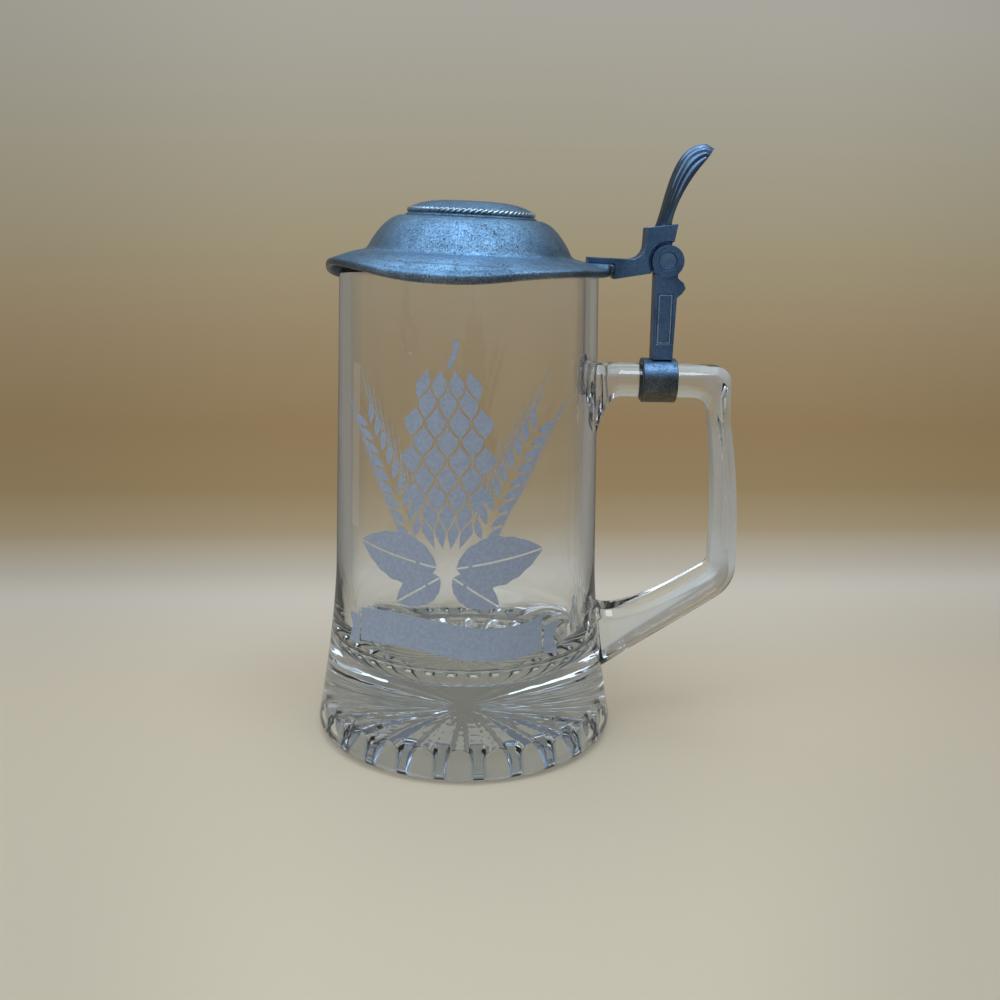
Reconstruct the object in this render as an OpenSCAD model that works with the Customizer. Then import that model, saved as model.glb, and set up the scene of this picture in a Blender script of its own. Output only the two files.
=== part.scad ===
// Half-litre glass beer stein with a hinged pewter lid.
// Millimetres, +Z up, the table at z = 0 under the middle of the mug, the handle toward +X.

/* [Glass body] */
// Height of the glass, from the table to its rim
glass_h = 153.6; // [142:0.2:156]
// Outside diameter at the rim
rim_d = 82.6; // [79:0.2:83]
// Outside diameter that the straight wall would have at the table
wall_base_d = 90.6; // [87:0.2:94]
// Outside diameter of the flared foot
foot_d = 102; // [97:0.5:108]
// Height at which the foot's flare has run out into the wall
flare_h = 58; // [48:1:70]
// Glass thickness at the rim, which is rounded over
rim_wall = 3.6; // [3:0.1:4.6]
// Glass thickness low down, above the floor
low_wall = 5; // [4:0.1:6.5]
// Thickness of the solid glass floor
floor_t = 25; // [20:0.5:30]
// Inside radius where the wall turns into the floor
floor_r = 9; // [5:0.5:14]
// Rounding of the foot's lower edge
foot_edge_r = 2.2; // [1:0.1:3]

/* [Pressed pattern] */
// Number of rays in the star pressed into the underside
ray_n = 24; // [16:1:28]
// Radius of the hollow under the foot, inside the ring that it stands on
star_r = 46; // [40:0.5:46.5]
// Height of the hollow under the foot
star_rise = 1.4; // [1:0.1:2]
// Width of a ray at its outer end
ray_w = 9; // [6:0.1:9.4]
// Height of a ray at its outer end, above the table
ray_h = 7.8; // [6:0.1:9]
// Radius at which the rays begin, round the plain middle
ray_from = 4; // [3:0.5:10]
// Glass left between the outer end of a ray and the edge of the hollow
ray_short = 0.4; // [0.3:0.1:2]

/* [Handle] */
// Height of the middle of the handle's upper bar
bar_z = 120.4; // [116:0.1:121]
// Height of the bar's eight-sided section
bar_h = 10.4; // [9.5:0.1:12]
// Width of the bar's section across the handle
bar_w = 13; // [12:0.5:15]
// Bevel of the section's four long edges
bevel = 3.05; // [2.2:0.05:3.4]
// How far the wall behind the bar's root is swollen downward
root_web = 12; // [6:0.5:15]
// Length over which that swelling runs out along the bar
root_run = 8.2; // [6:0.2:9]
// Least gap between the end of that swelling and the ring
root_clear = 0.4; // [0.2:0.1:2]
// Greatest reach of the handle from the axis of the mug
handle_reach = 91.3; // [88:0.1:97]
// Outside radius of the handle's upper corner
corner_out = 5.5; // [4:0.5:9]
// Inside radius of the handle's upper corner
corner_in = 6; // [4:0.5:9]
// How far the grip leans outward on its way down
grip_lean = 5.6; // [3:0.1:7]
// Thickness of the grip at the upper corner
grip_t_top = 6.4; // [6:0.1:8]
// Thickness of the grip above the elbow
grip_t_low = 8.8; // [8:0.1:10]
// Width of the grip across the handle
grip_w = 14.5; // [13:0.5:18]
// Height down to which the grip goes on leaning outward
lean_z = 88; // [80:1:95]
// Height of the middle of the elbow's bend
elbow_z = 59.3; // [56:0.1:66]
// Radius of the elbow, along the middle of the glass
elbow_r = 8.6; // [7:0.1:10]
// Turn of the elbow, from straight down toward the mug
elbow_turn = 56.5; // [50:0.5:62]
// Thickness of the handle's lower arm, past the elbow
arm_t = 10.6; // [9:0.1:13]
// Height of the middle of the lower seal on the wall
low_z = 32.6; // [28:0.2:36]
// Height of the lower seal
seal_h = 24; // [20:0.5:27]
// Width of both seals across the handle
seal_w = 18; // [15:0.5:21]

/* [Hinge] */
// Distance of the hinge pin from the handle's outer side
hinge_in = 28.6; // [27:0.1:30]
// Height of the hinge pin above the rim of the glass
hinge_up = 4.9; // [4.6:0.1:7]
// Diameter of the hinge pin
pin_d = 5.7; // [4:0.1:6.4]
// Gap round the pin in the lid's tongue, on the radius
pin_fit = 0.05; // [0.02:0.01:0.1]
// How far each end of the pin stands out of the knuckles
pin_proud = 0.15; // [0:0.05:0.5]
// Diameter of the knuckles and the tongue
knuckle_d = 10.2; // [9.4:0.1:11]
// Width of the whole hinge along the pin
hinge_w = 11.4; // [10.6:0.1:13]
// Width of the tongue between the knuckles
tongue_w = 4.6; // [3.5:0.1:5]
// Gap on each side of the tongue
side_gap = 0.15; // [0.1:0.05:0.4]
// Gap between the knuckles and the hollow in the lid's arm, on the radius
hollow_gap = 1.05; // [0.6:0.05:1.3]
// Width of the post along the handle, at its foot
post_foot_w = 6.4; // [5.8:0.1:7.4]
// Width of the post along the handle, at its head
post_head_w = 7.2; // [6.6:0.1:8]
// Thickness of the post along the pin
post_t = 8.4; // [7.5:0.1:8.8]
// How far the middle of the ring lies nearer the mug than the post
ring_back = 0.6; // [0:0.1:1]
// How far the stop for the opened lid stands out of the post
stop_out = 2.6; // [1.5:0.1:3]
// Height of that stop below the pin
stop_drop = 8.4; // [7.8:0.1:9.5]
// Gap below the tongue in the post's slot
slot_gap = 0.4; // [0.3:0.05:0.8]
// Depth of the plain panel sunk in the post's face
panel_depth = 0.4; // [0.2:0.05:0.8]
// Border of that panel on each side
panel_edge = 0.8; // [0.5:0.1:1.5]
// Height of that panel above the ring
panel_up = 5; // [2:0.1:7]
// Width of the ring along the handle
ring_w = 11.2; // [10:0.1:13]
// Thickness of the ring's metal
ring_t = 1.8; // [1.4:0.1:2.4]

/* [Lid] */
// Diameter of the lid over its brim
lid_d = 90.6; // [89.6:0.2:93]
// Thickness of the lid's metal
lid_wall = 2; // [1.5:0.1:2.5]
// Diameter of the dome where it meets the brim
dome_d = 68.4; // [66:0.2:69]
// Height of the dome above its foot
dome_h = 11.6; // [9:0.2:14]
// Diameter of the flat on top of the dome
flat_d = 42.4; // [42.2:0.2:46]
// Height of the dome's foot above the seat on the glass
brim_h = 3.9; // [3.6:0.1:5]
// Least thickness of the brim over the rim of the glass
rim_cover = 0.9; // [0.6:0.1:1.4]
// Gap round the rim of the glass, inside the turned-down brim
rim_gap = 0.9; // [0.6:0.1:1.2]
// Direction of the brim's first turned-down part, from the handle
dip_at = 260; // [180:5:270]
// How far the first part is turned down
dip_h = 3.2; // [0:0.1:5]
// Direction of the brim's second turned-down part, from the handle
dip2_at = 152; // [90:2:180]
// How far the second part is turned down
dip2_h = 6; // [0:0.1:6]
// Half the angle that a turned-down part takes up
dip_span = 60; // [40:2:70]
// Angle by which the closed lid stands up at its front
lid_ajar = 1.8; // [0:0.1:3]
// Least gap between the closed lid and the rim of the glass
lid_gap = 0.3; // [0.2:0.05:0.6]
// Width of the flat seat inside the lid, over the rim of the glass
seat_w = 5.2; // [4:0.1:6]
// Height of the step inside the lid, from the seat up to the dome's hollow
seat_h = 2; // [1:0.1:2.6]
// Diameter of the disc on top of the dome
disc_d = 41.6; // [36:0.2:42]
// Height of the disc at its middle
disc_h = 5.1; // [4:0.1:6]
// Height of the plain edge under the disc's bead
edge_h = 1.6; // [1:0.1:2]
// How far that edge slopes inward
edge_in = 0.9; // [0.4:0.1:1.6]
// Diameter of the bead round the disc
bead_d = 1.6; // [1.2:0.1:2]

/* [Lid arm and thumb-lift] */
// Width of the tab that is soldered to the brim
tab_w = 14; // [12:0.5:16]
// Thickness of the tab
tab_t = 1.7; // [1.4:0.1:2.4]
// How far the tab's inner end stays clear of the dome
tab_clear = 3.3; // [2:0.1:5]
// How far the pad under the tab stands out past the brim
pad_proud = 0.6; // [0.3:0.1:1]
// Height of the pad's lower side above the seat
pad_lift = 0.4; // [0.2:0.1:1]
// How far the pad's top lies below the dome's foot
pad_drop = 0.3; // [0:0.1:0.6]
// Distance of the block's inner side from the pin
block_in = 7.4; // [7.2:0.1:9]
// Distance of the block's outer side from the pin
block_out = 2.2; // [1.8:0.1:2.6]
// Height of the block's outer top corner above the pin
block_up = 11.5; // [11:0.1:13]
// Slope of the block's top
block_slope = 9; // [0:0.5:12]
// Depth of the arm's underside below the dome's foot, next to the brim
arm_deep = 5; // [4:0.1:5.4]
// Height of the arm's underside below the pin, where it meets the knuckles
arm_low = 4; // [3:0.1:4.6]
// Radius of the hollow where the arm turns up into the block
arm_fillet = 4.6; // [3:0.1:5.2]
// Height of the thumb-lift above the block
lift_h = 25.2; // [20:0.2:28]
// How far the thumb-lift's tip leans out past the pin
lift_lean = 14.2; // [11:0.1:15]
// Thickness of the thumb-lift at its root
lift_root = 4.6; // [4:0.1:5.4]
// Distance of the thumb-lift's root from the block's outer side
lift_in = 2; // [1:0.1:3]
// Step down from one flute of the thumb-lift to the next, as a share of its front curve
flute_step = 0.06; // [0.03:0.01:0.08]
// Height on the thumb-lift at which it begins to spread
fan_from = 1; // [0.5:0.1:4]
// Number of flutes across the thumb-lift
lift_n = 7; // [5:2:9]
// Width of the thumb-lift at its widest
lift_w = 17; // [15:0.5:20]
// Width of the thumb-lift at its root
lift_root_w = 10; // [8:0.5:11]

/* [Hidden] */
$fn = 96;
flare = (foot_d - wall_base_d) / 2;
lid_r = lid_d / 2;
knuckle_r = knuckle_d / 2;
hinge_x = handle_reach - hinge_in;
hinge_z = glass_h + hinge_up;
// The seat of the lid, in the lid's own level frame, drops by what the tilt lifts it at the rim
seat_z = glass_h + lid_gap - (hinge_x - rim_d / 2) * sin(lid_ajar);
brim_z = seat_z + brim_h;
flat_z = brim_z + dome_h;
// The pad on the brim under the arm's tab
pad_z = brim_z - pad_drop;
pad_low = seat_z + pad_lift;
pad_out = lid_r + pad_proud;
pad_in = dome_d / 2 + tab_clear;
ring_x = hinge_x - ring_back;
ring_top = bar_z + bar_h / 2 + ring_t;
// The swelling at the bar's root ends short of the ring
root_len = min(root_run, ring_x - ring_w / 2 - out_r(bar_z) - root_clear);
glass_color = [0.84, 0.87, 0.87, 0.4];
pewter_color = [0.42, 0.46, 0.54];
hinge_color = [0.27, 0.31, 0.40];

// Outside radius of the glass at height z
function wall_r(z) = wall_base_d / 2 + (rim_d - wall_base_d) / 2 * z / glass_h;
function out_r(z) = wall_r(z) + (z < flare_h ? flare * pow(1 - z / flare_h, 1.6) : 0);

// Point on a quadratic curve
function quad(a, b, c, t) = (1 - t) * (1 - t) * a + 2 * t * (1 - t) * b + t * t * c;
// Point on a cubic curve
function cubic(a, b, c, d, t) = (1 - t) * quad(a, b, c, t) + t * quad(b, c, d, t);

module glass_body() {
    color(glass_color)
    difference() {
        rotate_extrude() glass_profile();
        for (i = [0 : ray_n - 1]) rotate(i * 360 / ray_n) ray_cut();
    }
}

// Half section of the mug: foot, flared wall, rounded rim, inside, hollow under the foot
module glass_profile() {
    lip = rim_wall / 2;
    lip_x = wall_r(glass_h - lip) - lip;
    in_z = floor_t + floor_r;
    in_x = wall_r(in_z) - low_wall;
    polygon(concat(
        [[0, star_rise], [star_r - star_rise, star_rise], [star_r, 0]],
        [for (a = [-90 : 22.5 : 0])
            [out_r(foot_edge_r) - foot_edge_r + foot_edge_r * cos(a), foot_edge_r + foot_edge_r * sin(a)]],
        [for (k = [1 : 8]) let (z = foot_edge_r + (flare_h - foot_edge_r) * k / 8) [out_r(z), z]],
        [for (a = [0 : 22.5 : 180]) [lip_x + lip * cos(a), glass_h - lip + lip * sin(a)]],
        [for (a = [0 : 15 : 90]) [in_x - floor_r + floor_r * cos(a), in_z - floor_r * sin(a)]],
        [[0, floor_t]]));
}

// One ray of the star: a slim cone that widens and climbs outward to a flat end
module ray_cut() {
    reach = star_r - ray_short;
    climb = atan((ray_h - ray_w / 2 - star_rise) / reach);
    translate([0, 0, star_rise]) rotate([0, 90 - climb, 0]) translate([0, 0, ray_from])
        cylinder(r1 = ray_w / 2 * ray_from / reach, r2 = ray_w / 2, h = reach - ray_from);
}

// Stations of the handle: x, z, heading, half thickness, half width
function handle_stations() =
    let (wall_x = out_r(bar_z),
         grip_x = handle_reach - grip_lean,
         out_c = [grip_x - corner_out, bar_z + bar_h / 2 - corner_out],
         in_c = [grip_x - grip_t_top - corner_in, bar_z - bar_h / 2 - corner_in],
         elbow_x = handle_reach - grip_t_low / 2 - elbow_r,
         top_p = [grip_x - grip_t_top / 2, in_c[1]],
         bow_p = [elbow_x + elbow_r, lean_z],
         fall = atan2(bow_p[1] - top_p[1], bow_p[0] - top_p[0]),
         arm_a = -90 - elbow_turn,
         arm_p = [elbow_x + elbow_r * cos(-elbow_turn), elbow_z + elbow_r * sin(-elbow_turn)],
         low_p = [out_r(low_z) - 3, low_z],
         low_c = [arm_p[0] - (arm_p[1] - low_z) / tan(90 - elbow_turn), low_z])
    concat(
        [for (t = [-0.4 : 0.2 : 1]) let (d = root_web * pow(1 - max(t, 0), 2.5))
            [wall_x + root_len * t, bar_z - d / 2, 0, (bar_h + d) / 2,
             bar_w / 2 + (seal_w - bar_w) / 2 * pow(1 - max(t, 0), 2)]],
        [[in_c[0] - 1, bar_z, 0, bar_h / 2, bar_w / 2]],
        [for (k = [0 : 6])
            let (u = k / 6, n = [-sin(fall * u), cos(fall * u)],
                 p = out_c + corner_out * n, q = in_c + corner_in * n, d = p - q)
            [(p[0] + q[0]) / 2, (p[1] + q[1]) / 2, atan2(d[1], d[0]) - 90, norm(d) / 2,
             (bar_w + (grip_w - bar_w) * u) / 2]],
        [for (t = [0.1 : 0.15 : 0.9])
            let (p = quad(top_p, bow_p, [bow_p[0], elbow_z], t),
                 d = (1 - t) * (bow_p - top_p) + t * [0, elbow_z - lean_z])
            [p[0], p[1], atan2(d[1], d[0]), (grip_t_top + (grip_t_low - grip_t_top) * t) / 2, grip_w / 2]],
        [for (k = [0 : 4]) let (u = k / 4, a = -90 - elbow_turn * u)
            [elbow_x - elbow_r * sin(a), elbow_z + elbow_r * cos(a), a,
             (grip_t_low + (arm_t - grip_t_low) * u) / 2, grip_w / 2]],
        [for (t = [0.16, 0.3, 0.44, 0.58, 0.72, 0.84, 0.9, 0.95, 1])
            let (p = quad(arm_p, low_c, low_p, t),
                 d = (1 - t) * (low_c - arm_p) + t * (low_p - low_c))
            [p[0], p[1], atan2(d[1], d[0]),
             (arm_t + (seal_h - arm_t) * (0.3 * t + 0.8 * pow(t, 3))) / 2,
             grip_w / 2 + (seal_w - grip_w) / 2 * pow(t, 6)]]);

// Corners of the eight-sided section with half height a and half width b
function octagon(a, b, c) = [[b, a - c], [b - c, a], [c - b, a], [-b, a - c],
                             [-b, c - a], [c - b, -a], [b - c, -a], [b, c - a]];

// The handle: the eight-sided section lofted through the stations, ends cut to the wall
module glass_handle() {
    st = handle_stations();
    n = len(st);
    pts = [for (s = st, q = octagon(s[3], s[4], bevel))
        [s[0] - q[1] * sin(s[2]), q[0], s[1] + q[1] * cos(s[2])]];
    sides = [for (i = [0 : n - 2], k = [0 : 7]) let (m = (k + 1) % 8)
        [8 * i + k, 8 * i + m, 8 * i + 8 + m, 8 * i + 8 + k]];
    ends = [[for (k = [7 : -1 : 0]) k], [for (k = [0 : 7]) 8 * (n - 1) + k]];
    color(glass_color)
    difference() {
        polyhedron(pts, concat(sides, ends), convexity = 6);
        rotate_extrude() wall_profile();
    }
}

// Solid outline of the wall, where the handle's ends are cut
module wall_profile() {
    polygon(concat([[0, 0], [out_r(0), 0]],
        [for (k = [1 : 8]) let (z = foot_edge_r + (flare_h - foot_edge_r) * k / 8) [out_r(z), z]],
        [[wall_r(glass_h), glass_h], [0, glass_h]]));
}

// Ring round the handle's bar: the bar's own section, thickened
module handle_ring() {
    grow = 2 - sqrt(2);
    color(hinge_color)
    translate([ring_x - ring_w / 2, 0, bar_z]) rotate([90, 0, 90])
    linear_extrude(ring_w) difference() {
        polygon(octagon(bar_h / 2 + ring_t, bar_w / 2 + ring_t, bevel + ring_t * grow));
        polygon(octagon(bar_h / 2, bar_w / 2, bevel));
    }
}

// Cylinder along the pin, from y0 to y1
module along_pin(r, y0, y1) {
    translate([hinge_x, y1, hinge_z]) rotate([90, 0, 0]) cylinder(r = r, h = y1 - y0);
}

// Post on the ring, with two knuckles, a stop for the opened lid and a plain sunk panel
module hinge_post() {
    slot = tongue_w / 2 + side_gap;
    foot = post_foot_w / 2;
    head = post_head_w / 2;
    head_z = -knuckle_r * 0.7;
    foot_z = ring_top - hinge_z;
    panel_h = (head_z - foot_z) * 0.58;
    color(hinge_color)
    difference() {
        union() {
            translate([hinge_x, post_t / 2, hinge_z]) rotate([90, 0, 0]) linear_extrude(post_t)
                polygon([[-foot, foot_z], [foot, foot_z], [head, -stop_drop - 3],
                         [head + stop_out * 0.6, -stop_drop - 1.6], [head + stop_out, -stop_drop],
                         [head + stop_out * 0.7, -stop_drop + 1.8], [head, -stop_drop + 3.2],
                         [head, head_z], [-head, head_z]]);
            along_pin(knuckle_r, -hinge_w / 2, hinge_w / 2);
        }
        along_pin(knuckle_r + slot_gap, -slot, slot);
        along_pin(pin_d / 2, -hinge_w, hinge_w);
        translate([hinge_x - foot + panel_edge, -post_t / 2 - 1, ring_top + panel_up])
            cube([post_foot_w - 2 * panel_edge, 1 + panel_depth, panel_h]);
    }
}

module hinge_pin() {
    color(hinge_color) along_pin(pin_d / 2, -hinge_w / 2 - pin_proud, hinge_w / 2 + pin_proud);
}

// Places a piece of the lid: built level, then tipped up at its front about the pin
module tipped() {
    translate([hinge_x, 0, hinge_z]) rotate([0, lid_ajar, 0]) translate([-hinge_x, 0, -hinge_z]) children();
}

module lid() {
    color(pewter_color) tipped() {
        translate([0, 0, seat_z]) {
            rotate_extrude() dome_profile();
            brim();
        }
        translate([pad_in, -tab_w / 2, pad_low]) cube([pad_out - pad_in, tab_w, pad_z - pad_low]);
    }
}

// Half section of the hollow dome, down to the seat on the glass
module dome_profile() {
    r = dome_d / 2;
    f = flat_d / 2;
    top = brim_h + dome_h;
    polygon(concat(
        [[0, top], [f, top]],
        [for (k = [1 : 8]) let (u = k / 8)
            [f + (r - lid_wall / 2 - f) * u, top - (dome_h - lid_wall / 2) * u * u]],
        [[r, brim_h], [r + seat_w - lid_wall / 2, brim_h - lid_wall], [r + seat_w - lid_wall / 2, 0],
         [r - lid_wall / 2, 0], [r - lid_wall, seat_h]],
        [for (k = [8 : -1 : 1]) let (u = k / 8)
            [f + (r - 1.5 * lid_wall - f) * u, top - lid_wall - (dome_h - lid_wall / 2) * u * u]],
        [[f - lid_wall, top - lid_wall], [0, top - lid_wall]]));
}

// Half section of the brim: distance from the edge of the lid, height, share of the fall
skirt_in = rim_d / 2 + rim_gap - lid_r;
brim_section = [[dome_d / 2 + 0.4 - lid_r, brim_h - 0.6, 0], [-10, brim_h - 0.75, 0],
                [-8, brim_h - 1, 0.04], [-6, brim_h - 1.2, 0.2], [-4, brim_h - 1.5, 0.46],
                [-2.2, brim_h - 1.9, 0.78], [-1, brim_h - 2.5, 0.97], [-0.25, brim_h - 3.1, 1],
                [0, brim_h - 3.6, 1], [-0.4, brim_h - 4.1, 1], [-1.2, brim_h - 4.3, 1],
                [-1.7, brim_h - 3.8, 1], [-2.3, brim_h - 3.2, 0.86], [-2.8, brim_h - 2.9, 0.62],
                [skirt_in, 0, 0], [-7.4, 0, 0], [-8.8, 1, 0]];

// Fall of one turned-down part, d degrees from its middle
function dip(d) = let (e = abs((d + 540) % 360 - 180)) e < dip_span ? pow(cos(90 * e / dip_span), 2) : 0;
// Fall of the brim at angle a
function brim_fall(a) = dip_h * dip(a - dip_at) + dip2_h * dip(a - dip2_at);
// Height of a point q of the section, which stays above the rim of the glass where it lies over it
function brim_at(q, fall) = q[2] > 0 && q[0] < skirt_in ? max(q[1] - q[2] * fall, rim_cover) : q[1] - q[2] * fall;

// The brim: its section carried round the lid, turned down in two places
module brim() {
    steps = 72;
    m = len(brim_section);
    pts = [for (i = [0 : steps - 1], q = brim_section)
        let (a = i * 360 / steps, r = lid_r + q[0])
        [r * cos(a), r * sin(a), brim_at(q, brim_fall(a))]];
    faces = [for (i = [0 : steps - 1], k = [0 : m - 1])
        let (j = (i + 1) % steps, n = (k + 1) % m)
        each [[m * i + k, m * j + n, m * i + n], [m * i + k, m * j + k, m * j + n]]];
    polyhedron(pts, faces, convexity = 8);
}

// Low disc on the flat of the dome: a sloped edge, a round bead and a flattened cap
module lid_medallion() {
    r = disc_d / 2;
    b = bead_d / 2;
    bead_r = r - edge_in - b;
    bead_z = edge_h + b;
    color(pewter_color) tipped() translate([0, 0, flat_z]) rotate_extrude() {
        polygon(concat([[0, 0], [r, 0], [r - edge_in, edge_h]],
            [for (k = [0 : 8]) let (u = 1 - k / 8) [bead_r * u, disc_h - (disc_h - bead_z) * pow(u, 4)]]));
        translate([bead_r, bead_z]) circle(r = b);
    }
}

// Side outline of the arm: tab, hollow, block, underside
module arm_outline() {
    side = hinge_x - block_in;
    tab_z = pad_z + tab_t;
    out = hinge_x + block_out;
    top = hinge_z + block_up;
    polygon(concat(
        [[pad_in, pad_z], [pad_in, tab_z]],
        [for (a = [-90 : 15 : -5])
            [side - arm_fillet + arm_fillet * cos(a), tab_z + arm_fillet * (1 + sin(a))]],
        [[side, tab_z + arm_fillet], [side, top - (out - side) * tan(block_slope)], [out, top],
         [out - 0.8, hinge_z + knuckle_r + hollow_gap / 2], [hinge_x, hinge_z],
         [hinge_x - knuckle_r, hinge_z - arm_low], [pad_out, brim_z - arm_deep], [pad_out, pad_z]]));
}

// Arm of the lid: tab on the brim, block over the hinge, tongue between the knuckles
module lid_arm() {
    half = hinge_w / 2;
    tongue = tongue_w / 2;
    color(hinge_color) tipped() difference() {
        union() {
            difference() {
                translate([0, half, 0]) rotate([90, 0, 0]) linear_extrude(hinge_w) arm_outline();
                along_pin(knuckle_r + hollow_gap, tongue, hinge_w);
                along_pin(knuckle_r + hollow_gap, -hinge_w, -tongue);
            }
            along_pin(knuckle_r, -tongue, tongue);
        }
        along_pin(pin_d / 2 + pin_fit, -hinge_w, hinge_w);
    }
}

// Side outline of one flute of the thumb-lift, its root on the slope of the block's top
// All flutes share the front curve; a lower one leaves out the given share of it at the tip
module leaf(short) {
    half = lift_root / 2;
    foot = half * tan(block_slope);
    tip_z = 0.95;
    front = [for (k = [0 : 12])
        cubic([lift_lean, tip_z * lift_h], [0.6 * lift_lean, 0.72 * lift_h],
              [0.16 * lift_lean, 0.35 * lift_h], [half, foot], short + (1 - short) * k / 12)];
    x = front[0][0];
    h = front[0][1] / tip_z;
    back = [for (k = [0 : 12])
        cubic([-half, -foot], [0.05 * x, 0.36 * h], [0.06 * x, h], [0.82 * x, h], k / 12)];
    polygon(concat(back, front));
}

// Thumb-lift: a shell of narrow flutes, tallest in the middle, spreading upward
module thumb_lift() {
    pitch = lift_w / lift_n;
    root_x = hinge_x + block_out - lift_root / 2 - lift_in;
    root_z = hinge_z + block_up - (lift_root / 2 + lift_in) * tan(block_slope);
    color(hinge_color) tipped() translate([root_x, 0, root_z])
    intersection() {
        for (k = [0 : (lift_n - 1) / 2])
            rotate([90, 0, 0]) linear_extrude((2 * k + 1) * pitch, center = true) leaf(flute_step * k);
        rotate([90, 0, 90]) translate([0, 0, -lift_h]) linear_extrude(2 * lift_h)
            polygon([[-lift_root_w / 2, -lift_root], [lift_root_w / 2, -lift_root],
                     [lift_root_w / 2, fan_from], [lift_w / 2, lift_h * 0.5], [lift_w / 2, lift_h * 2],
                     [-lift_w / 2, lift_h * 2], [-lift_w / 2, lift_h * 0.5], [-lift_root_w / 2, fan_from]]);
    }
}

glass_body();
glass_handle();
handle_ring();
hinge_post();
hinge_pin();
lid();
lid_medallion();
lid_arm();
thumb_lift();
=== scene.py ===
import math

import bmesh
import bpy
import numpy as np
from mathutils import Matrix, Vector

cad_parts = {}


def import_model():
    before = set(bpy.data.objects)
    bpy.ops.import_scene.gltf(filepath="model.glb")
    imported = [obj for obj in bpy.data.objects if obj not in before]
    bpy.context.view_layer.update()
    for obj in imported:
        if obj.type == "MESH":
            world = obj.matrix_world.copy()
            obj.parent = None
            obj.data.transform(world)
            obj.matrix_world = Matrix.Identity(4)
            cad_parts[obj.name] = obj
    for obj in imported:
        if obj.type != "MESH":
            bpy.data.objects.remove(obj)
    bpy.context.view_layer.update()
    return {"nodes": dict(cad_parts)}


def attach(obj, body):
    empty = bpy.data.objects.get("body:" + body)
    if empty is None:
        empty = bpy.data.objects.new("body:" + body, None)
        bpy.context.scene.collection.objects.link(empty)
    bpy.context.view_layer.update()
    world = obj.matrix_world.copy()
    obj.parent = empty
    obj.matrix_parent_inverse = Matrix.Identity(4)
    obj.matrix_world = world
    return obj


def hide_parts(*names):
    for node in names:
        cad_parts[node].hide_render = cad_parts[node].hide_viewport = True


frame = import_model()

# Glass beer stein with a hinged pewter lid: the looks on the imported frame.
# Sizes are millimetres in the part's frame, and become metres where a mesh is made.
MM = 0.001

# Glass body
GLASS_H = 153.6
RIM_R = 41.3
WALL_BASE_R = 45.3
FOOT_R = 51.36
FLARE_H = 58.0
FLARE_POWER = 1.6
RIM_WALL = 3.6
LOW_WALL = 5.0
FLOOR_T = 24.2
FLOOR_ROUND = 16.0
FOOT_ROUND = 4.2
# The rim stands this much further up, inside the lid's brim, and its lip is squared a little
RIM_UP = 1.0
LIP_SQUARE = 0.7
# Marks that the handle's seals leave in the wall: height, half height, half width, depth of the inner bulge
SEAL_MARKS = ((118.0, 9.5, 7.5, 0.5), (36.5, 9.5, 7.5, 0.5))
# Thin film of air shut in at each seal: depth under the outside of the wall, thickness, wrinkles
FILM_DEEP = 0.35
FILM_T = 0.45
FILM_WRINKLE = 0.12
# Rings of the inside stand this far apart at the seals, and this far between them
ROWS_FINE = 0.8
ROWS_COARSE = 5

# Star pressed under the foot
RAYS = 24
STAR_R = 46.0
STAR_RISE = 8.5
RAY_W = 9.0
RAY_H = 9.8
RAY_FROM = 4.0
RAY_REACH = STAR_R - 0.4
RAY_END_ROUND = 1.5
STAR_RIPPLE = 0.04
RAY_HALF = math.atan(RAY_W / 2 / RAY_REACH)
RAY_CLIMB = math.atan((RAY_H - RAY_W / 2 - STAR_RISE) / RAY_REACH)

# Finish of the glass: tints, and the share of a lamp's light let through, change between two heights
FOOT_TINT = (0.93, 0.97, 1.0)
BASE_TINT = (0.845, 0.88, 0.90)
WALL_TINT = (0.95, 0.963, 0.97)
# Painted bluish reflection laid on the pillars between the ends of the star's rays
PILLAR_REFLECTION = (0.56, 0.69, 0.90)
FOOT_TO_BASE = (5, 11)
BASE_TO_WALL = (20, 44)
FOOT_SHADE = (0.40, 0.41, 0.42)
WALL_SHADE = (0.93, 0.95, 0.95)
SHADE_SPAN = (2, 7)
GLASS_IOR = 1.51
# Ripple left by the mould, stronger low down
RIPPLE_SCALE = 70
RIPPLE_LOW = 4.0
RIPPLE_SPAN = (25, 80)
RIPPLE_DEEP = 0.5
RIPPLE_STRENGTH = 0.06
# Pillars between the ends of the rays: where they start round the foot, how softly they end inward, outward
# and up
PILLAR_WAVE = (-0.2, -0.5)
PILLAR_SOFT = 1.0
PILLAR_OUT = 0.6
PILLAR_UP = (2.0, 0.5)

# Finish of the pewter: scales of cloud, grain and pits, how far up or down a face looks to change tone,
# and how dark or pale the cloud, pits and grain are
CLOUD_SCALE = 70
GRAIN_SCALE = 2200
PIT_SCALE = 1150
# Painted light: faces turned up take a painted highlight colour, faces turned down a painted lighter or
# warmer colour
PAINTED_LIGHT_UP = (0.05, 0.6)
PAINTED_LIGHT_DOWN = (-0.8, -0.3)
CLOUD_DARK = 0.58
PIT_SPAN = (0.53, 0.66)
PIT_DARK = 1.8
GRAIN_PALE = 0.9

# Handle
BAR_Z = 120.4
BAR_H = 10.4
BAR_W = 13.0
BEVEL = 3.05
ROOT_WEB = 12.0
ROOT_RUN = 8.2
REACH = 91.26
CORNER_OUT = 5.5
CORNER_IN = 6.0
GRIP_LEAN = 5.6
GRIP_T_TOP = 6.4
GRIP_T_LOW = 8.8
GRIP_W = 14.5
LEAN_Z = 88.0
ELBOW_Z = 59.3
ELBOW_R = 8.6
ELBOW_TURN = math.radians(56.5)
ARM_T = 10.6
LOW_Z = 32.6
SEAL_H = 24.0
SEAL_W = 18.0
EDGE_ROUND = 0.7

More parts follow.
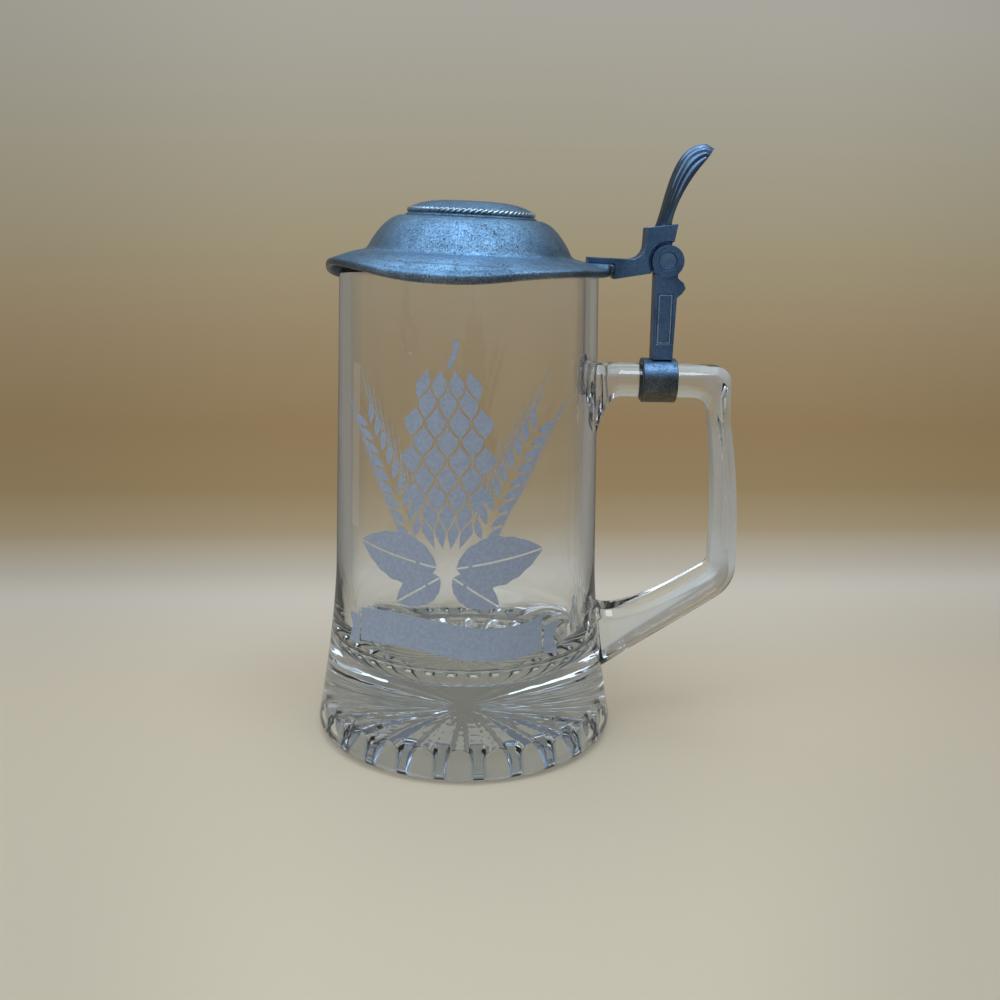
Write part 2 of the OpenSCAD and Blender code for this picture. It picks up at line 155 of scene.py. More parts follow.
# Hinge and lid
HINGE = Vector((62.7, 0.0, 158.5))
LID_AJAR = math.radians(1.8)
LID_GAP = 0.3
LID_R = 45.3
LID_WALL = 2.0
DOME_R = 34.2
DOME_H = 11.6
FLAT_R = 21.2
BRIM_H = 3.9
SEAT_H = 2.0
SEAT_UP = 1.12
RIM_COVER = 1.9
SKIRT_IN = RIM_R + 0.9
# Where the brim is bent down by hand, in degrees from the handle, and how far
DIPS = ((260.0, 3.2), (152.0, 6.0))
DIP_SPAN = 60.0
# Section of the brim, outward on top and inward below: inset from the edge, drop, share of the bend
BRIM_TOP = ((8, 0.3, 0.03), (6, 0.75, 0.14), (4, 1.2, 0.36), (2.2, 1.6, 0.6), (0.9, 1.95, 0.74),
            (0.2, 2.35, 0.83), (0, 2.9, 0.9))
BRIM_UNDER = ((0, 2.9, 0.9), (0.05, 3.8, 1), (0.4, 4.15, 1), (1.2, 4.3, 1), (1.7, 3.8, 1),
              (2.3, 3.2, 0.86), (2.8, 2.9, 0.62))
# Waves of the brim: height, number, phase; and of its edge: depth, number
BRIM_WAVES = ((0.10, 5, 0.6), (0.07, 11, 2.1))
EDGE_WAVE = (0.12, 7)
# The brim is free of the rim from this far outside the glass, over this stretch
RIM_NEAR = 0.2
RIM_CLEARS = 1.4
DISC_R = 20.8
DISC_H = 5.1
EDGE_H = 0.75
EDGE_IN = 0.9
# Foot of the disc's edge: inset, height
EDGE_FOOT = ((0.25, 0), (0, 0.12), (0.06, 0.35))
BEAD_R = 0.85
BEAD_AT = DISC_R - BEAD_R - 0.45
CAP_R = BEAD_AT + 0.3 * BEAD_R
CAP_LOW = EDGE_H + 1.8 * BEAD_R
ROPE_STRANDS = 3
ROPE_RIDGES = 70
ROPE_CORE = 0.55
ROPE_ROUND = 0.7
TAB_W = 14.0
PAD_IN = DOME_R + 3.3
PAD_OUT = LID_R + 0.6
PAD_LIFT = 1.3
PAD_DROP = 0.3
PAD_SINK = 0.2
PAD_ROUND = 0.5
# Solder between brim and arm: degrees from the handle where it is full and where it ends, gap under the
# arm, and how it rounds off at the lid's edge
SOLDER_NEAR = 9.3
SOLDER_FAR = 16.0
SOLDER_GAP = 0.05
SOLDER_ROUND = 0.9
SOLDER_FALL = 1.2
SEAT_Z = GLASS_H + LID_GAP - (HINGE.x - RIM_R) * math.sin(LID_AJAR)
FLAT_Z = SEAT_Z + BRIM_H + DOME_H

# Pin, post and ring
PIN_R = 2.85
PIN_HALF = 5.7
PIN_SUNK = 0.4
PIN_DISH = 0.2
PIN_FIT = 0.02
# Face of the pin as shares of its radius and dish, then its broken edge as inset and depth
PIN_FACE = ((0.5, 0.8), (0.8, 0.15))
PIN_EDGE = ((0.25, 0), (0.08, 0.06), (PIN_FIT, 0.25))
KNUCKLE_R = 5.1
POST_FOOT_W = 6.4
POST_T = 8.4
PANEL_DEPTH = 0.4
PANEL_EDGE = 0.8
PANEL_UP = 5.0
PANEL_SHARE = 0.58
# Section of the panel's border: inset from the panel's edge, depth under the post's face
BORDER = ((0.25, PANEL_DEPTH + 0.05), (0.3, 0.08), (0.45, 0.04), (0.6, 0.08), (0.65, PANEL_DEPTH + 0.05))
RING_T = 1.8
RING_W = 11.2
RING_X = HINGE.x - 0.6
RING_SOFT = 2.2
RING_RIM = 0.3
RING_FIT = 0.03

# Thumb-lift
LIFT_H = 25.2
LIFT_LEAN = 14.2
LIFT_ROOT = 4.6
LIFT_IN = 2.0
LIFT_N = 7
LIFT_W = 17.0
LIFT_ROOT_W = 10.0
FLUTE_STEP = 0.06
FLUTE_DEEP = 0.065
LIFT_SIDE = math.radians(84)
# Curves of the lift as shares of its lean and height: front from the tip down, back from the root up
LIFT_FRONT = ((1.0, 0.95), (0.6, 0.72), (0.16, 0.35))
LIFT_BACK = ((0.05, 0.36), (0.06, 1.0), (0.82, 1.0))
# Extra fall of the tip in a groove, and how fast the grooves deepen from the root
GROOVE_TIP = 0.02
GROOVE_GROWS = 1.6
FAN_FROM = 1.0
FAN_TO = LIFT_H / 2
BLOCK_OUT = 2.2
BLOCK_UP = 11.5
BLOCK_SLOPE = math.radians(9)

# Frosted print on the front of the glass, round a line left of the middle
FROST_DARK = (0.285, 0.322, 0.405)
FROST_PALE = (0.34, 0.38, 0.463)
PRINT_LIFT = 0.06
PRINT_DEEP = 0.02
PRINT_U = -4.5
CONE_TOP = 129
CONE_H = 56
CONE_W = 30
CONE_ROWS = 9
EAR_OUT = 11
EAR_FOOT = 77
EAR_LEAN = 0.34
EAR_L = 36
EAR_BOW = 0.24
EAR_PAIRS = 9
GRAIN_L = 6.4
GRAIN_W = 2.3
GRAIN_SPLAY = 0.56
AWN_L = 17
AWN_SHORTER = 5
AWN_SPLAY = 0.22
AWN_HALF_W = 0.3
STEM_L = 17
STEM_HALF_W = 0.55
# Leaves on each side: distance from the middle, height, angle, length, width
LEAVES = ((3, 68, 1.40, 28, 15), (2, 65, 2.15, 17, 10))
LEAF_TEETH = 6
LEAF_RIB = 0.3
RIBBON_HALF = 31
RIBBON_V = 45.5
RIBBON_HALF_W = 5.2
RIBBON_WAVE = 1.6
RIBBON_TAIL = 6
RIBBON_NOTCH = 2.2

# Camera, worked out from the photograph
CAMERA_AT = Vector((11.19, -351.7, 165.1))
CAMERA_DOWN = math.radians(13.78)
CAMERA_ROLL = math.radians(1.10)
CAMERA_LENS = 38.66

# Stage: a floor that runs up into a curved, glowing backdrop, whose painted light goes by height
COVE_Y = 125.0
COVE_R = 160.0
STAGE_HALF = 3000.0
FLOOR_NEAR = -400.0
WALL_SKEW = 0.105
FLOOR_TONE = (212, 193, 168)
RAMP_TOP = 300
WALL_TONES = ((0, (192, 189, 181)), (3.8, (177, 172, 161)), (15, (156, 142, 116)), (31, (144, 125, 93)),
              (60, (141, 121, 89)), (112, (151, 133, 105)), (158, (156, 146, 120)), (223, (162, 157, 141)),
              (286, (168, 165, 156)))
# The floor passes into the backdrop between these distances behind the mug's axis
WALL_SPAN = (20, 150)
# What metal shows of the backdrop, by the distance to the side, and after several reflections
BOUNCED_NEAR = (110, 111, 106)
BOUNCED_FAR = (146, 142, 131)
BOUNCED_OFTEN = (90, 102, 122)
BOUNCED_SPAN = (90, 190)
BOUNCED_MOST = 0.85
# Painted light falls off to both sides, by the slant of a line from this far in front of the mug's axis
FALL_FROM = 351.7
FALL_MIDDLE = 0.06
FALL_SPAN = (0.2, 0.52)
FALL_TO = 0.87
# Light through one bar of glass, two passes, takes a share of the cooler light from the sides, by height
ONE_BAR = 2.0
ONE_BAR_NEAR = 1.1
COOL_TONE = (149, 165, 177)
COOL_SPAN = (90, 45)
COOL_SHARES = (0.14, 0.42)
# Even light from all round, below and overhead
TENT_LOW = (0.26, 0.265, 0.27)
TENT_HIGH = (0.56, 0.64, 0.74)
TENT_SPAN = (-0.1, 0.9)


def wall_r(z):
    """Radius of the straight wall at height z."""
    return WALL_BASE_R + (RIM_R - WALL_BASE_R) * z / GLASS_H


def out_r(z):
    """Outside radius of the glass at height z."""
    flare = FOOT_R - WALL_BASE_R
    return wall_r(z) + (flare * (1 - z / FLARE_H) ** FLARE_POWER if z < FLARE_H else 0.0)


def arc(x, z, r, start, end, n):
    """Points of an arc in a half section, angles in degrees."""
    return [(x + r * math.cos(a), z + r * math.sin(a)) for a in np.radians(np.linspace(start, end, n))]


def curve_through(points, per_span):
    """A smooth curve through the points, as a Catmull-Rom spline."""
    p = np.array(points, float)
    p = np.vstack([2 * p[0] - p[1], p, 2 * p[-1] - p[-2]])
    out = []
    for a, b, c, d in zip(p, p[1:], p[2:], p[3:]):
        for t in np.arange(per_span) / per_span:
            out.append(0.5 * (2 * b + (c - a) * t + (2 * a - 5 * b + 4 * c - d) * t * t
                              + (3 * b - a - 3 * c + d) * t ** 3))
    out.append(p[-2])
    return np.array(out)


def skin(rings, capped=True, looped=False):
    """Vertices and faces through rings of points that all have the same count."""
    rings = np.asarray(rings, float)
    m, n = rings.shape[:2]
    verts = [tuple(v) for v in rings.reshape(-1, 3)]
    faces = []
    for i in range(m if looped else m - 1):
        a, b = i * n, (i + 1) % m * n
        faces += [(a + j, a + (j + 1) % n, b + (j + 1) % n, b + j) for j in range(n)]
    if capped and not looped:
        for ring, first in ((rings[0], 0), (rings[-1], (m - 1) * n)):
            verts.append(tuple(ring.mean(axis=0)))
            faces += [(len(verts) - 1, first + (j + 1) % n, first + j) for j in range(n)]
    return verts, faces


def folded(rows):
    """Vertices and faces of a closed shell, whose rows run out along one side and back along the other."""
    verts, faces = skin(rows, capped=False)
    n = len(rows[0])
    for first in (0, (len(rows) - 1) * n):
        last = first + n - 1
        faces += [(first + k, first + k + 1, last - 1 - k, last - k) for k in range(n // 2 - 1)]
    return verts, faces


def placed(name, data):
    """A new object in the scene."""
    obj = bpy.data.objects.new(name, data)
    bpy.context.collection.objects.link(obj)
    return obj


def mesh_object(name, verts, faces):
    """A closed mesh object, its faces turned outward."""
    mesh = bpy.data.meshes.new(name)
    mesh.from_pydata([[c * MM for c in v] for v in verts], [], faces)
    work = bmesh.new()
    work.from_mesh(mesh)
    bmesh.ops.recalc_face_normals(work, faces=work.faces)
    work.to_mesh(mesh)
    work.free()
    return placed(name, mesh)


def finish_piece(obj, body, material, nodes=(), sharp=40):
    """Shading, finish and place in the frame of one piece."""
    obj.data.shade_smooth()
    obj.data.set_sharp_from_angle(angle=math.radians(sharp))
    obj.data.materials.clear()
    obj.data.materials.append(material)
    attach(obj, body)
    if nodes:
        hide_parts(*nodes)
    return obj


def tipped(points):
    """Points of the level lid, tipped up at the front about the hinge pin."""
    turn = Matrix.Translation(HINGE) @ Matrix.Rotation(LID_AJAR, 4, "Y") @ Matrix.Translation(-HINGE)
    return [tuple(turn @ Vector(p)) for p in points]


# Materials

def add(tree, kind, ins=None, **props):
    """A shader node with its properties set and its inputs linked or set."""
    new = tree.nodes.new(kind)
    for key, value in props.items():
        setattr(new, key, value)
    for key, value in (ins or {}).items():
        if isinstance(value, bpy.types.NodeSocket):
            tree.links.new(value, new.inputs[key])
        else:
            new.inputs[key].default_value = value
    return new


def blank_material(name):
    """A new material, its node tree and its shader."""
    mat = bpy.data.materials.new(name)
    mat.use_nodes = True
    return mat, mat.node_tree, mat.node_tree.nodes["Principled BSDF"]


def noise(tree, where, scale, detail=3.0, rough=0.5):
    """Values of a noise at a place."""
    return add(tree, "ShaderNodeTexNoise",
               {"Vector": where, "Scale": scale, "Detail": detail, "Roughness": rough}).outputs["Fac"]


def between(tree, value, low, high, to_low=0.0, to_high=1.0):
    """A value's stretch from low to high, carried to another range."""
    return add(tree, "ShaderNodeMapRange",
               {"Value": value, "From Min": low, "From Max": high, "To Min": to_low, "To Max": to_high},
               interpolation_type="SMOOTHSTEP").outputs["Result"]


def across(tree, value, span, *to):
    """A length's stretch across a span in millimetres, carried to another range."""
    return between(tree, value, span[0] * MM, span[1] * MM, *to)


def blend_colour(tree, share, one, two):
    """A mix of two colours, by sockets or plain values."""
    return add(tree, "ShaderNodeMix", {0: share, 6: one, 7: two}, data_type="RGBA").outputs[2]


def combine(tree, operation, one, two):
    """Two numbers put together."""
    return add(tree, "ShaderNodeMath", {0: one, 1: two}, operation=operation).outputs[0]


def by_height(tree, height, span, low, high):
    """A colour that changes between two heights; low may be a socket."""
    return blend_colour(tree, across(tree, height, span), low, (*high, 1))


def pewter(name, side, top, rough, deep, mottle, under=None):
    """Old cast pewter: clouded tarnish, fine grain and dark pits, a painted highlight facing up, painted
    light facing down.
    """
    mat, tree, shader = blank_material(name)
    place = add(tree, "ShaderNodeTexCoord")
    where = place.outputs["Object"]
    up = add(tree, "ShaderNodeSeparateXYZ", {"Vector": place.outputs["Normal"]}).outputs["Z"]
    # Painted highlight on faces turned up, painted light and reflection on faces turned down
    tone = blend_colour(tree, between(tree, up, *PAINTED_LIGHT_UP), (*side, 1), (*top, 1))
    if under:
        tone = blend_colour(tree, between(tree, up, *PAINTED_LIGHT_DOWN), (*under, 1), tone)
    cloud = noise(tree, where, CLOUD_SCALE, 6, 0.65)
    grain = noise(tree, where, GRAIN_SCALE, 4, 0.65)
    pits = between(tree, noise(tree, where, PIT_SCALE, 5, 0.75), *PIT_SPAN)
    shade = combine(tree, "MULTIPLY", between(tree, cloud, 0.34, 0.62, CLOUD_DARK, 1.0),
                    between(tree, pits, 0, 1, 1.0, 1 - PIT_DARK * mottle))
    grains = between(tree, grain, 0.36, 0.64, 1 - mottle, 1 + GRAIN_PALE * mottle)
    speckle = combine(tree, "MULTIPLY", shade, grains)
    colour = add(tree, "ShaderNodeVectorMath", {0: tone, "Scale": speckle}, operation="SCALE")
    height = combine(tree, "SUBTRACT", between(tree, grain, 0.3, 0.7), pits)
    bump = add(tree, "ShaderNodeBump", {"Height": height, "Strength": 0.5, "Distance": deep * MM})
    tree.links.new(colour.outputs[0], shader.inputs["Base Color"])
    tree.links.new(between(tree, cloud, 0.3, 0.7, rough + 0.08, rough - 0.06), shader.inputs["Roughness"])
    tree.links.new(bump.outputs["Normal"], shader.inputs["Normal"])
    shader.inputs["Metallic"].default_value = 1.0
    return mat


def pillar_reflection_share(tree, where):
    """Share of painted reflection: 1 on the pillars between the ends of the star's rays under the foot, 0
    elsewhere.
    """
    split = add(tree, "ShaderNodeSeparateXYZ", {"Vector": where})
    turn = combine(tree, "ARCTAN2", split.outputs["Y"], split.outputs["X"])
    phase = combine(tree, "MULTIPLY", turn, float(RAYS))
    wave = add(tree, "ShaderNodeMath", {0: phase}, operation="COSINE").outputs[0]
    level = add(tree, "ShaderNodeVectorMath", {0: where, 1: (1, 1, 0)}, operation="MULTIPLY")
    out = add(tree, "ShaderNodeVectorMath", {0: level.outputs[0]}, operation="LENGTH").outputs["Value"]
    inner = STAR_R - STAR_RISE
    share = between(tree, wave, *PILLAR_WAVE)
    for value, span in ((out, (inner - PILLAR_SOFT, inner + PILLAR_SOFT)),
                        (out, (STAR_R + PILLAR_OUT, STAR_R)),
                        (split.outputs["Z"], (STAR_RISE + PILLAR_UP[0], STAR_RISE + PILLAR_UP[1]))):
        share = combine(tree, "MULTIPLY", share, across(tree, value, span))
    return share


def clear_glass():
    """Clear pressed glass, the faint ripple of its mould, a painted reflection on the pillars; lamps shine
    through it.
    """
    mat, tree, shader = blank_material("clear_glass")
    where = add(tree, "ShaderNodeTexCoord").outputs["Object"]
    height = add(tree, "ShaderNodeSeparateXYZ", {"Vector": where}).outputs["Z"]
    strength = across(tree, height, RIPPLE_SPAN, RIPPLE_LOW, 1.0)
    ripple = combine(tree, "MULTIPLY", noise(tree, where, RIPPLE_SCALE, 2), strength)
    bump = add(tree, "ShaderNodeBump",
               {"Height": ripple, "Strength": RIPPLE_STRENGTH, "Distance": RIPPLE_DEEP * MM})
    tree.links.new(bump.outputs["Normal"], shader.inputs["Normal"])
    tint = by_height(tree, height, FOOT_TO_BASE, (*FOOT_TINT, 1), BASE_TINT)
    tint = by_height(tree, height, BASE_TO_WALL, tint, WALL_TINT)
    # Painted reflection: the pillars under the foot take a bluish colour
    tint = blend_colour(tree, pillar_reflection_share(tree, where), tint, (*PILLAR_REFLECTION, 1))
    tree.links.new(tint, shader.inputs["Base Color"])
    shader.inputs["Roughness"].default_value = 0.0
    shader.inputs["IOR"].default_value = GLASS_IOR
    shader.inputs["Transmission Weight"].default_value = 1.0
    lamp_ray = add(tree, "ShaderNodeLightPath").outputs["Is Shadow Ray"]
    shade = by_height(tree, height, SHADE_SPAN, (*FOOT_SHADE, 1), WALL_SHADE)
    thin = add(tree, "ShaderNodeBsdfTransparent", {"Color": shade})
    glass = add(tree, "ShaderNodeMixShader", {0: lamp_ray, 1: shader.outputs[0], 2: thin.outputs[0]})
    tree.links.new(glass.outputs[0], tree.nodes["Material Output"].inputs["Surface"])
    return mat


def frosted():
    """Matt grey frost, a little uneven."""
    mat, tree, shader = blank_material("frost")
    where = add(tree, "ShaderNodeTexCoord").outputs["Object"]
    speck = noise(tree, where, 900, 4, 0.6)
    colour = blend_colour(tree, between(tree, speck, 0.35, 0.7), (*FROST_DARK, 1), (*FROST_PALE, 1))
    tree.links.new(colour, shader.inputs["Base Color"])
    shader.inputs["Roughness"].default_value = 0.75
    return mat


# Glass mug

def star_z(r, off):
    """Height of the underside at a radius and an angle from the middle of the nearest ray."""
    plain = max(0.0, min(STAR_RISE, STAR_R - r))
    x, y = r * math.cos(off), r * math.sin(off)
    if not RAY_FROM <= r <= RAY_REACH:
        return plain
    # Upper side of the ray's cone: (p . axis)^2 = cos^2(half) * |p|^2, p measured from its tip
    ax, az = math.cos(RAY_CLIMB), math.sin(RAY_CLIMB)
    k = math.cos(RAY_HALF) ** 2
    qa, qb, qc = az * az - k, 2 * ax * az * x, ax * ax * x * x - k * (x * x + y * y)
    root = qb * qb - 4 * qa * qc
    rise = max(plain, STAR_RISE + (-qb - math.sqrt(root)) / (2 * qa)) if root > 0 else plain
    near_end = max(0.0, (r - RAY_REACH) / RAY_END_ROUND + 1)
    return plain + (rise - plain) * math.sqrt(max(0.0, 1 - near_end ** 2))


def star_ripple(r, a):
    """Faint waves of the pressed underside, none at its middle and its edge."""
    calm = min(1.0, r / 10, max(0.0, (STAR_R - 2 - r) / 4))
    crossed = math.sin(0.83 * r + 11 * a) * math.sin(0.37 * r - 17 * a)
    return STAR_RIPPLE * calm * (crossed + 0.6 * math.sin(0.53 * r + 31 * a + 1))


def star_offsets():
    """Angles across one ray and the glass beside it, closest where the ray's wall stands up."""
    pitch = 2 * math.pi / RAYS
    wall = math.atan(math.tan(RAY_HALF) / math.cos(RAY_CLIMB))
    ray = [wall * 0.999 * math.sin(math.pi / 2 * t) for t in np.linspace(-1, 1, 15)]
    beside = [wall * 1.01 + (pitch - 2.02 * wall) * t for t in np.linspace(0, 1, 5)]
    return ray + beside


def seal_bulge(r, z, a):
    """How far the wall is pushed inward behind the handle's seals."""
    y = r * math.sin(a)
    out = 0.0
    for middle, half_h, half_w, deep in SEAL_MARKS:
        d = ((z - middle) / half_h) ** 2 + (y / half_w) ** 2
        if d < 1 and math.cos(a) > 0:
            out += deep * (1 - d) ** 1.3
    return out


def air_film(middle, half_h, half_w):
    """A lens of air with wrinkled sides, under the wall's outside behind one seal."""
    turns = np.linspace(0, 2 * math.pi, 64, endpoint=False)
    outward = np.arange(1, 15) / 14
    rings = []
    for way, shares in ((1, outward), (-1, outward[-2::-1])):
        for d in shares:
            ring = []
            for a in turns:
                y, z = half_w * d * math.cos(a), middle + half_h * d * math.sin(a)
                thick = FILM_T / 2 * (1 - d ** 4)
                ripple = math.sin(2.3 * z + 1.1 * y) + 0.7 * math.sin(1.9 * y - 2.9 * z + 1)
                ripple += 0.5 * math.sin(4.1 * z - 2.2 * y)
                r = out_r(z) - FILM_DEEP - FILM_T + way * thick + FILM_WRINKLE * ripple * (1 - d * d)
                ring.append((math.sqrt(r * r - y * y), y, z))
            rings.append(ring)
    return skin(rings)


def glass_rings():
    """Rings of the mug from the middle of its underside, over the rim, to the middle of its floor."""
    lip = RIM_WALL / 2
    rim_z = GLASS_H + RIM_UP
    lip_x = wall_r(rim_z - lip) - lip
    in_z = FLOOR_T + FLOOR_ROUND
    in_x = wall_r(in_z) - LOW_WALL
    side = arc(out_r(FOOT_ROUND) - FOOT_ROUND, FOOT_ROUND, FOOT_ROUND, -90, 0, 9)
    side += [(out_r(z), z) for z in np.linspace(FOOT_ROUND, FLARE_H, 30)[1:]]
    side += [(wall_r(z), z) for z in np.linspace(FLARE_H, rim_z - lip, 24)[1:-1]]
    side += [(lip_x + lip * math.copysign(abs(math.cos(a)) ** LIP_SQUARE, math.cos(a)),
              rim_z - lip + lip * math.sin(a) ** LIP_SQUARE) for a in np.linspace(0, math.pi, 25)]
    heights = (*range(147, 136, -3), *np.arange(135, 101, -ROWS_FINE), *range(100, 54, -ROWS_COARSE),
               *np.arange(52, in_z, -ROWS_FINE))
    shares = (rim_z - lip - np.array(heights)) / (rim_z - lip - in_z)
    inside = [(lip_x - lip + (in_x - lip_x + lip) * t, rim_z - lip + (in_z - rim_z + lip) * t)
              for t in shares]
    inside += arc(in_x - FLOOR_ROUND, in_z, FLOOR_ROUND, 0, -90, 14)
    inside += [(r, FLOOR_T) for r in np.linspace(in_x - FLOOR_ROUND, 0.4, 10)[1:]]
    pitch = 2 * math.pi / RAYS
    near = [(off + pitch / 2) % pitch - pitch / 2 for off in star_offsets()]
    turns = [i * pitch + off for i in range(RAYS) for off in star_offsets()]
    ends = RAY_REACH - RAY_END_ROUND * (1 - np.sin(np.linspace(0, math.pi / 2, 8)))
    under = [0.4, *np.linspace(RAY_FROM - 0.01, ends[0] - 0.4, 40), *ends[:-1], RAY_REACH - 0.005,
             RAY_REACH + 0.01, STAR_R]
    rings = []
    for r in under:
        star = [star_z(r, off) for off in near] * RAYS
        rings.append([(r * math.cos(a), r * math.sin(a), z + star_ripple(r, a))
                      for a, z in zip(turns, star)])
    rings += [[(r * math.cos(a), r * math.sin(a), z) for a in turns] for r, z in side]
    for r, z in inside:
        radii = [r - min(seal_bulge(r, z, a), 0.3 * r) for a in turns]
        rings.append([(near_r * math.cos(a), near_r * math.sin(a), z) for near_r, a in zip(radii, turns)])
    return rings


def quad(a, b, c, t):
    """A point of the quadratic curve from a to c that bends toward b."""
    return (1 - t) ** 2 * a + 2 * t * (1 - t) * b + t * t * c


def handle_stations():
    """Stations of the handle: x, z, heading, half thickness, half width."""
    wall_x = out_r(BAR_Z)
    grip_x = REACH - GRIP_LEAN
    out_c = np.array((grip_x - CORNER_OUT, BAR_Z + BAR_H / 2 - CORNER_OUT))
    in_c = np.array((grip_x - GRIP_T_TOP - CORNER_IN, BAR_Z - BAR_H / 2 - CORNER_IN))
    elbow_x = REACH - GRIP_T_LOW / 2 - ELBOW_R
    top_p = np.array((grip_x - GRIP_T_TOP / 2, in_c[1]))
    bow_p = np.array((elbow_x + ELBOW_R, LEAN_Z))
    end_p = np.array((bow_p[0], ELBOW_Z))
    fall = math.atan2(bow_p[1] - top_p[1], bow_p[0] - top_p[0])
    arm_p = np.array((elbow_x + ELBOW_R * math.cos(ELBOW_TURN), ELBOW_Z - ELBOW_R * math.sin(ELBOW_TURN)))
    low_p = np.array((out_r(LOW_Z) - 3, LOW_Z))
    low_c = np.array((arm_p[0] - (arm_p[1] - LOW_Z) * math.tan(ELBOW_TURN), LOW_Z))
    out = []
    for t in np.linspace(-0.35, 1, 16):
        far = 1 - max(t, 0)
        web = ROOT_WEB * far ** 2.5
        out.append((wall_x + ROOT_RUN * t, BAR_Z - web / 2, 0, (BAR_H + web) / 2,
                    BAR_W / 2 + (SEAL_W - BAR_W) / 2 * far ** 2))
    out.append((in_c[0] - 1, BAR_Z, 0, BAR_H / 2, BAR_W / 2))
    for u in np.linspace(0, 1, 14):
        n = np.array((-math.sin(fall * u), math.cos(fall * u)))
        p, q = out_c + CORNER_OUT * n, in_c + CORNER_IN * n
        mid, d = (p + q) / 2, p - q
        out.append((*mid, math.atan2(d[1], d[0]) - math.pi / 2, np.linalg.norm(d) / 2,
                    (BAR_W + (GRIP_W - BAR_W) * u) / 2))
    for t in np.linspace(0.06, 0.94, 16):
        p = quad(top_p, bow_p, end_p, t)
        d = (1 - t) * (bow_p - top_p) + t * (end_p - bow_p)
        half_t = (GRIP_T_TOP + (GRIP_T_LOW - GRIP_T_TOP) * t) / 2
        out.append((*p, math.atan2(d[1], d[0]), half_t, GRIP_W / 2))
    for u in np.linspace(0, 1, 12):
        a = -math.pi / 2 - ELBOW_TURN * u
        out.append((elbow_x - ELBOW_R * math.sin(a), ELBOW_Z + ELBOW_R * math.cos(a), a,
                    (GRIP_T_LOW + (ARM_T - GRIP_T_LOW) * u) / 2, GRIP_W / 2))
    for t in (*np.linspace(0.08, 0.86, 12), 0.9, 0.93, 0.96, 0.98, 1):
        p = quad(arm_p, low_c, low_p, t)
        d = (1 - t) * (low_c - arm_p) + t * (low_p - low_c)
        out.append((*p, math.atan2(d[1], d[0]), (ARM_T + (SEAL_H - ARM_T) * (0.3 * t + 0.8 * t ** 3)) / 2,
                    GRIP_W / 2 + (SEAL_W - GRIP_W) / 2 * t ** 6))
    return out


def octagon(a, b, c=BEVEL, soft=EDGE_ROUND, per_corner=4):
    """The handle's section with half height a, half width b and bevel c, its corners a little rounded."""
    corners = np.array([(b, a - c), (b - c, a), (c - b, a), (-b, a - c),
                        (-b, c - a), (c - b, -a), (b - c, -a), (b, c - a)], float)
    out = []
    for k, p in enumerate(corners):
        near, far = corners[k - 1] - p, corners[(k + 1) % 8] - p
        ends = [p + d * min(0.48, soft / np.linalg.norm(d)) for d in (near, far)]
        out += [quad(ends[0], p, ends[1], t) for t in np.linspace(0, 1, per_corner)]
    return out


def handle_rings():
    """Sections of the handle, set across its stations."""
    rings = []
    for x, z, heading, half_t, half_w in handle_stations():
        rings.append([(x - q[1] * math.sin(heading), q[0], z + q[1] * math.cos(heading))
                      for q in octagon(half_t, half_w)])
    return rings


def glass_mug(material):
    """Body and handle of the mug, fused into one clear piece."""
    mug = mesh_object("glass_mug", *skin(glass_rings()))
    handle = mesh_object("handle_to_fuse", *skin(handle_rings()))
    fuse = mug.modifiers.new("fuse", "BOOLEAN")
    fuse.operation = "UNION"
    fuse.solver = "EXACT"
    fuse.object = handle
    shown = mug.evaluated_get(bpy.context.evaluated_depsgraph_get())
    mug.data = bpy.data.meshes.new_from_object(shown)
    mug.modifiers.clear()
    bpy.data.objects.remove(handle)
    work = bmesh.new()
    for *mark, _ in SEAL_MARKS:
        film = mesh_object("film", *air_film(*mark))
        work.from_mesh(film.data)
        bpy.data.objects.remove(film)
    bmesh.ops.reverse_faces(work, faces=work.faces)
    work.from_mesh(mug.data)
    work.to_mesh(mug.data)
    work.free()
    return finish_piece(mug, "mug", material, ("glass_body", "glass_handle"), 24)


# Frosted print: patches given as grids of (u, v), u along the front of the glass, v its height

def wrapped(u, v, lift):
    """A point of the print, laid round the glass."""
    r = out_r(v) + lift
    return r * math.sin(u / r), -r * math.cos(u / r), v


def strip(start, end, half_width, bend=0.0, along=14, inner=-1.0):
    """A patch along a bowed line; half_width is a function of the share of its length."""
    start, end = np.array(start, float), np.array(end, float)
    run = end - start
    side = np.array((-run[1], run[0])) / np.linalg.norm(run)
    grid = []
    for t in np.linspace(0, 1, along):
        mid = start + run * t + side * bend * 4 * t * (1 - t)
        low = inner if inner < 0 else min(inner / max(half_width(t), 0.01), 0.9)
        grid.append([mid + side * s * half_width(t) for s in np.linspace(low, 1, 5)])
    return grid


def lens(width, power=0.8, foot=0.04):
    """Half width of a leaf-shaped patch that is that wide."""
    return lambda t: width / 2 * max(foot, math.sin(math.pi * min(max(t, 0), 1)) ** power)


def turned(point, angle, length):
    """The point a length away, at an angle from upright."""
    return point[0] + length * math.sin(angle), point[1] + length * math.cos(angle)


def barley_ear(root, lean, length, bow):
    """A bowed ear: stem, grains in pairs, a long awn on each grain."""
    patches = []
    for t in np.arange(EAR_PAIRS) / (EAR_PAIRS - 1):
        angle = lean + bow * t
        at = turned(root, lean + bow * t / 2, length * t)
        for way in (-1, 1):
            foot = turned(at, angle + way * math.pi / 2, 0.7)
            tip = turned(foot, angle + way * GRAIN_SPLAY, GRAIN_L)
            patches.append(strip(foot, tip, lens(GRAIN_W), way * -0.3))
            hair = turned(tip, angle + way * AWN_SPLAY, AWN_L - AWN_SHORTER * t)
            patches.append(strip(tip, hair, lambda along: AWN_HALF_W * (1 - 0.7 * along), way * 0.5, 8))
    stem = turned(root, lean + math.pi, STEM_L)
    patches.append(strip(stem, root, lambda along: STEM_HALF_W, 0.8))
    return patches


